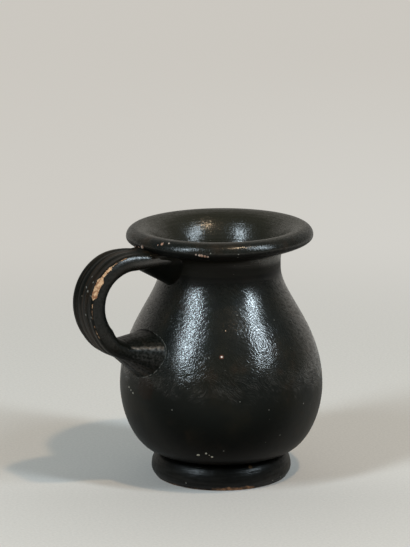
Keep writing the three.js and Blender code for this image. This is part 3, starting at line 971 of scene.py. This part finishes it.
# %% Foot finish
FOOT_DULL_LEVEL = 0.07
WORN_DARK, WORN_PALE = (0.085, 0.050, 0.032), (0.30, 0.155, 0.085)
FOOT_DOTS = [((11.1, -23.4, 2.0), 0.28), ((6.5, -25.0, 1.8), 0.3), ((-23.3, -11.8, 2.3), 0.28)]
FOOT_BROWN_SPOT, FOOT_BROWN = ((-3.0, -24.0, 8.2), 1.0), (0.10, 0.06, 0.03)
LEVEL_RADIUS = 30


def level(finish, place, length, across):
    """Streaks that run round the pot, like the lines of throwing."""
    flat = finish.vector("MULTIPLY", place, (1, 1, 0))
    x, y, _ = finish.split(finish.scaled(finish.vector("NORMALIZE", flat), LEVEL_RADIUS / length))
    z = finish.split(place)[2] * across
    return finish.noise(finish.node("ShaderNodeCombineXYZ", {}, {0: x, 1: y, 2: z}), detail=1.2)


def band(finish, value, low, high, soft):
    """1 between low and high, and falling to 0 over soft beyond them."""
    return finish.step(value, low - soft, low) * finish.step(value, high + soft, high)


def foot_slip():
    finish = Finish("black_slip_foot")
    place = place_in_mm(finish)
    height = finish.split(place)[2]
    lines = level(finish, place, 12, 1.6)
    streaky = level(finish, place, 9, 1.1)
    patch = cloudy(finish, place, 2.5, detail=3)
    grain = cloudy(finish, place, 0.5)
    front = band(finish, turn_angle(finish, place), -4, 24, 7)
    worn_edge = finish.step(height - (patch - 0.5) * 2.2 + (1 - front) * 1.3, 1.85, 1.2)
    under = finish.step(height, 0.20, 0.06)
    inner = finish.step(out_from_axis(finish, place), 18.9, 18.3) * finish.step(height, 8.8, 8.0)
    bare = worn_edge.larger(under).larger(inner)
    dots = spots(finish, place, FOOT_DOTS, 0.2)
    brown = spots(finish, place, [FOOT_BROWN_SPOT], 0.6)
    tone = finish.scaled(slip_tone(finish, place, 0.1), 0.3)
    tone = finish.mix(brown * 0.8, tone, FOOT_BROWN)
    tone = finish.mix(dots, tone, GRIT)
    worn_tone = finish.mix(finish.step(patch, 0.42, 0.60) * front, WORN_DARK, WORN_PALE)
    clay_tone = finish.mix(inner.larger(under), worn_tone, bare_tone(finish, place))
    tone = finish.mix(bare, tone, clay_tone)
    relief = lines * 0.14 + grain * 0.05 + patch * 0.14 - bare * 0.08
    gloss = (1 - bare) * (1 - dots) * (1 - brown * 0.7) * (0.14 + patch * 0.10 + (streaky - 0.5) * 0.30)
    gloss_rough = 0.34 + (patch - 0.5) * 0.16
    return fired(finish, tone, relief, gloss, gloss_rough, 0.5, FOOT_DULL_LEVEL)


# %% The foot
FOOT_SLIP = foot_slip()
foot_whole = np.vstack([foot_outline(), [(FOOT_HOLLOW_TOP, FOOT_TOP)]])
foot_turned = turn_piece("foot_turned", foot_whole, FOOT_SLIP)
hand_over(foot_turned, "foot_ring")

# %% [markdown]
# The joint lines. Foot and mouth were made apart and set on with wet clay, which shows as a thin dark line
# all round. Each is a short ring between the two pieces, a little inside the foot's shoulder.

# %% The joint lines
SEAM_SET_BACK = 0.3


def seam(name, inner, outer, low, high, finish):
    ring = [(inner, low), (outer, low), (outer, high), (inner, high), (inner, low)]
    return turn_piece(name, ring, finish)


seam_outer = BODY_BOTTOM_RADIUS - SEAM_SET_BACK
foot_seam = seam("foot_seam", FOOT_HOLLOW_TOP, seam_outer, FOOT_TOP, BODY_BOTTOM, FOOT_SLIP)
neck_seam = seam("neck_seam", NECK - WALL, NECK, NECK_HEIGHT, MOUTH_BOTTOM, BODY_SLIP)
hand_over(foot_seam, "foot_luting")
hand_over(neck_seam, "neck_luting")

# %% [markdown]
# The handle. The strap was pulled, so its streaks run lengthwise, and its outer face is matt. Its near
# edge has worn through to the clay, widest where a thumb rests. Only its narrow sides are smooth enough to
# shine. The attribute that the strap's points keep tells where on the strap each place is.

# %% The handle's wear
EDGE_DEPTH = 2.8
WORN_RUNS = [(25, 31, 1.5, 0.16), (31.5, 36, 1.5, 0.50), (36.6, 41.6, 1.6, 1.20),
             (44.3, 50, 0.5, 0.24), (50.8, 56.5, 0.5, 0.26)]      # from, to, softness, width
STRAP_DOTS = [((-0.4, -2.7, 39.7), 0.45), ((-2.2, -2.7, 40.7), 0.4), ((0.9, -2.7, 42.8), 0.3),
              ((-5.0, -2.7, 41.8), 0.3), ((-6.1, -2.8, 48.5), 0.35), ((-2.2, -2.8, 48.3), 0.45),
              ((-5.0, -2.8, 49.8), 0.35), ((-0.9, -2.7, 36.0), 0.4), ((-3.2, -2.7, 37.5), 0.3),
              ((-7.0, 1.4, 38.4), 0.3)]


def worn_edge(finish, strap, broken):
    """The line along the strap's near edge where the clay shows."""
    across, toward, along = finish.split(strap)
    arris = STRAP_HALF * (1 - SIDE_BULGE)
    beside = {0: across + arris, 1: toward + EDGE_DEPTH, 2: 0.0}
    from_edge = finish.length(finish.node("ShaderNodeCombineXYZ", {}, beside))
    width = 0
    for start, end, soft, wide in WORN_RUNS:
        width = width + band(finish, along, start, end, soft) * wide
    return finish.step(from_edge + broken * 0.7, width + 0.12, width - 0.08) * finish.step(width, 0.02, 0.08)


# %% Handle finish
HANDLE_DULL_LEVEL = 0.06


def handle_slip():
    """The strap's own coordinates are across, towards the finger, and along."""
    finish = Finish("black_slip_handle")
    place = place_in_mm(finish)
    strap = finish.node("ShaderNodeAttribute", {"attribute_name": "strap"}, {}, "Vector")
    rim = finish.node("ShaderNodeAttribute", {"attribute_name": "pad_rim"}, {}, "Fac")
    across, toward, along = finish.split(strap)
    pulled = finish.noise(finish.vector("MULTIPLY", strap, (2.2, 1.6, 0.07)), detail=2)
    streak = finish.noise(finish.vector("MULTIPLY", strap, (0.85, 0.8, 0.035)), detail=3)
    patch = cloudy(finish, place, 3.5, detail=3)
    grain = cloudy(finish, place, 0.5)
    strokes = cloudy(finish, place, 0.95, detail=1)
    broken = cloudy(finish, place, 1.3, detail=3) - 0.5

    side_face = 1 - finish.step(across.math("ABSOLUTE"), STRAP_HALF * 0.93, STRAP_HALF * 0.87)
    outer_face = finish.step(toward, 0.2, -0.2) * (1 - side_face)
    on_strap = finish.step(along, TOP_RUN - 4, TOP_RUN) * finish.step(along, ROOT_AT + 3, ROOT_AT)
    root_pad = finish.step(along, ROOT_AT + 3, ROOT_AT + 12)
    pad = root_pad.larger(finish.step(along, TOP_RUN - 8, TOP_RUN - 16))
    at_root = finish.step(along, ROOT_AT - 1, ROOT_AT)
    worn = worn_edge(finish, strap, broken)
    pale = spots(finish, strap, STRAP_DOTS, 0.7)
    # rim_line paints a thin pale line, in the grit tone, where the root's pad of clay ends on the belly.
    rim_line = rim * at_root * finish.step(across, -0.5, -2.0) * finish.step(broken, -0.10, 0.06)

    tone = finish.scaled(slip_tone(finish, place, 0.2), 0.8)
    tone = finish.mix(outer_face * finish.step(streak, 0.46, 0.62) * 0.75, tone, BROWN)
    tone = finish.mix((pale * 0.8).larger(rim_line * 0.6), tone, GRIT)
    tone = finish.mix(worn, tone, bare_tone(finish, place))
    relief = pulled * on_strap * outer_face * 0.085 + grain * 0.045 + patch * 0.06 + strokes * pad * 0.06
    relief = relief - worn * 0.18 + pale * 0.04

    near_top = finish.step(along, TOP_RUN + 5, TOP_RUN - 5)
    side_gloss = 0.26 + near_top * 0.72 - finish.step(along, ROOT_AT - 6, ROOT_AT) * 0.18
    gloss = (0.03 + finish.step(streak, 0.42, 0.60) * 0.10 + side_face * side_gloss
             + (strokes - 0.5) * (side_face * 0.45 + pad * 0.8) + root_pad * 0.10)
    gloss = gloss * (1 - worn.larger(pale).larger(rim_line))
    gloss = gloss * (1 - finish.step(along, 9, 4) * 0.85)
    gloss_rough = 0.29 - near_top * 0.05 + root_pad * 0.07 + (patch - 0.5) * 0.16
    return fired(finish, tone, relief, gloss, gloss_rough, 0.5, HANDLE_DULL_LEVEL)


HANDLE_SLIP = handle_slip()

# %% [markdown]
# Strap and clay are three pieces. The strap runs on a little way inside each collar, thinner there so
# that it stays hidden. The collars are the smoothed clay: short at the top, where the strap meets the
# neck almost straight on, and long at the root, where it meets the belly at a slant.

# %% The strap
TOP_START, ROOT_START = TOP_RUN - 0.5, ROOT_AT - 0.5
CORE_RUN, CORE_SHRINK, SHRINK_OVER = 4.0, 0.16, 3
STRAP_ROWS = 240

strap_rings, strap_marks = [], []
for distance in np.linspace(TOP_START - CORE_RUN, ROOT_START + CORE_RUN, STRAP_ROWS):
    section = section_at(np.clip(distance, TOP_START, ROOT_START))
    hidden = max(TOP_START - distance, distance - ROOT_START, 0)
    strap_rings.append(ring_at(distance, section * (1 - CORE_SHRINK * min(hidden / SHRINK_OVER, 1))))
    strap_marks.append(marks_at(distance, section))
handle_strap = skin("handle_strap", strap_rings, HANDLE_SLIP, strap_marks)
hand_over(handle_strap, "handle")

# %% The smoothed clay at both ends
TOP_LEAD, TOP_PAD = (1.2, 9.0, 10.0), (8.0, 1.0, 0.4, 2.0, 2.4)
ROOT_LEAD, ROOT_PAD = (7.0, 3.4, 2.0), (6.2, 4.6, 4.4, 2.1, 2.1)

top_rings = joint_rings(TOP_START, -1, TOP_LEAD, TOP_PAD)
top_collar = collar("handle_top_clay", TOP_START, top_rings, -1, HANDLE_SLIP)
hand_over(top_collar, "handle_top_luting")
root_rings = joint_rings(ROOT_START, 1, ROOT_LEAD, ROOT_PAD)
root_collar = collar("handle_root_clay", ROOT_START, root_rings, 1, HANDLE_SLIP)
hand_over(root_collar, "handle_root_luting")

# %% [markdown]
# The stage. The floor is a wide disc that takes the shadows near the pot and fades to the backdrop's
# tone further out, so there is no horizon in any view. Black glaze is a dark mirror, so what it mirrors
# shapes it more than its own tone does. Mirrored rays therefore see the floor just in front of the pot
# dark and the floor beyond it pale, which keeps the lower belly black, as in the photograph.

# %% The floor's finish
FLOOR_TONE, BACK_TONE, LIT_BACKDROP_TONE = (0.650, 0.614, 0.582), (0.60, 0.575, 0.53), (0.645, 0.63, 0.59)
SHADOWS_TO, BACKDROP_FROM = 0.16, 0.42
DARK_STRIP, PALE_BEYOND, NEAR_DIM = 0.05, 0.15, 0.19
PAPER_GRAIN = 0.001


def rays(finish):
    """Masks for the rays of the camera, of mirrors and of clear glass."""
    kinds = ("Is Camera Ray", "Is Glossy Ray", "Is Transmission Ray")
    return [finish.node("ShaderNodeLightPath", {}, {}, kind) for kind in kinds]


def floor_finish():
    finish = Finish("pale_floor")
    place = finish.node("ShaderNodeTexCoord", {}, {}, "Object")
    place = finish.vector("SUBTRACT", place, (AXIS_X, 0, 0))
    distance = finish.length(place)
    forward, side = finish.reach(place, -away), finish.reach(place, toward_right)
    grain = finish.noise(finish.scaled(place, 1 / PAPER_GRAIN), detail=3)
    near_tone = finish.mix(grain, [c * 0.88 for c in FLOOR_TONE], [c * 1.12 for c in FLOOR_TONE])
    # Painted shade on the floor: its tone is darkened close in front of the pot, and a little over the whole
    # front.
    painted_contact_shade = finish.step(distance, 0.14, 0.03) * finish.step(forward, -0.01, 0.04)
    near_tone = finish.scaled(near_tone, 1 - painted_contact_shade * 0.14 - finish.step(forward, 0, 0.1) * 0.03)
    diffuse = finish.node("ShaderNodeBsdfDiffuse", {}, {"Color": near_tone})

    camera_ray, mirrored, clear = rays(finish)
    in_front = mirrored * finish.step(forward, 0.0, DARK_STRIP)
    # Painted light on the backdrop: its glow turns lighter near the pot and towards the right.
    painted_backdrop_light = finish.step(distance, 1.1, 0.35) * (0.45 + finish.step(side, -0.10, 0.10) * 0.55)
    back_tone = finish.mix(painted_backdrop_light, BACK_TONE, LIT_BACKDROP_TONE)
    dim = NEAR_DIM + finish.step(forward, DARK_STRIP, PALE_BEYOND) * (1 - NEAR_DIM)
    glow_tone = finish.mix(in_front, back_tone, finish.scaled(BACK_TONE, dim))
    glow = finish.node("ShaderNodeEmission", {}, {"Color": glow_tone, "Strength": 1.0})
    far = finish.step(distance, SHADOWS_TO, BACKDROP_FROM)
    faded = (far * camera_ray.larger(mirrored).larger(clear)).larger(in_front)
    return finish.surface(finish.node("ShaderNodeMixShader", {}, {0: faded, 1: diffuse, 2: glow}))


# %% The floor
FLOOR_RADIUS, FLOOR_CORNERS = 8.0, 64

floor_mesh = bpy.data.meshes.new("floor")
around = np.linspace(0, math.tau, FLOOR_CORNERS, endpoint=False)
floor_edge = [(FLOOR_RADIUS * math.cos(a), FLOOR_RADIUS * math.sin(a), 0) for a in around]
floor_mesh.from_pydata(floor_edge, [], [tuple(range(len(floor_edge)))])
floor_mesh.materials.append(floor_finish())
floor = bpy.data.objects.new("floor", floor_mesh)
bpy.context.scene.collection.objects.link(floor)
print("floor:", FLOOR_RADIUS * 2, "m across")

# %% [markdown]
# The room. The camera sees the backdrop's tone everywhere. Light that falls on the pot comes from a dimmer
# grey room, and the glaze mirrors that room darker still, except behind the pot, where a glancing mirror
# should show the pale backdrop.

# %% The room
ROOM_TONE, MIRRORED_DIM = (0.285, 0.295, 0.27), 0.32

world = bpy.data.worlds.new("room")
bpy.context.scene.world = world
room = Finish("room", world)
direction = room.node("ShaderNodeTexCoord", {}, {}, "Generated")
facing_back = room.step(room.reach(direction, away), 0.15, 0.85)
camera_ray, mirrored, clear = rays(room)
seen_back = camera_ray.larger(clear).larger(mirrored * facing_back)
tone = room.mix(seen_back, ROOM_TONE, BACK_TONE)
strength = 1 - (mirrored * (1 - facing_back)) * (1 - MIRRORED_DIM)
room.surface(room.node("ShaderNodeBackground", {}, {"Color": tone, "Strength": strength}))
print("room:", len(room.tree.nodes), "nodes")

# %% [markdown]
# The lamps. Two long upright highlights on the belly say that tall windows stood left and right of the
# camera, and the small golden glint in the mouth says that a warm lamp hung high on the right. The lamp
# is small, so it gives the shadow on the left its clear outline.

# %% The windows
COOL, WARM = (0.77, 0.91, 1.0), (1.0, 0.74, 0.48)


def sky_place(azimuth, elevation, distance):
    """A place by its angle to the right of the camera and above the floor, seen from the pot."""
    a, e = math.radians(azimuth), math.radians(elevation)
    outward = -away * math.cos(a) + toward_right * math.sin(a)
    return Vector((AXIS_X, 0, 0)) + (outward * math.cos(e) + up * math.sin(e)) * distance


def window(name, azimuth, distance, width, low, high, radiance):
    """A tall upright panel of cool light that faces the pot."""
    light = bpy.data.lights.new(name, "AREA")
    light.shape = "RECTANGLE"
    light.size, light.size_y = width, high - low
    light.energy = radiance * math.pi * width * (high - low)
    light.color = COOL
    lamp = bpy.data.objects.new(name, light)
    lamp.location = sky_place(azimuth, 0, distance) + up * (low + high) / 2
    inward = (Vector((AXIS_X, 0, 0)) - sky_place(azimuth, 0, distance)).normalized()
    lamp.rotation_euler = inward.to_track_quat("-Z", "Y").to_euler()
    bpy.context.scene.collection.objects.link(lamp)
    print(name, round(light.energy, 1), "W")


window("left_window", azimuth=-48, distance=1.2, width=0.22, low=0.50, high=1.75, radiance=20.5)
window("right_window", azimuth=59, distance=1.2, width=0.17, low=0.63, high=2.1, radiance=27.5)

# %% The warm lamp
WARM_SIZE, WARM_POWER = 0.06, 3.7
AIM = Vector((AXIS_X, 0, 0.04))

warm = bpy.data.lights.new("warm_lamp", "AREA")
warm.shape = "DISK"
warm.size = WARM_SIZE
warm.energy = WARM_POWER
warm.color = WARM
warm_lamp = bpy.data.objects.new("warm_lamp", warm)
warm_lamp.location = sky_place(38, 64.5, 1.3)
warm_lamp.rotation_euler = (AIM - warm_lamp.location).to_track_quat("-Z", "Y").to_euler()
bpy.context.scene.collection.objects.link(warm_lamp)
print("warm_lamp", WARM_POWER, "W")

# %% [markdown]
# Last, the picture's tones are kept plain.

# %% Plain tones
bpy.context.scene.view_settings.view_transform = "Standard"
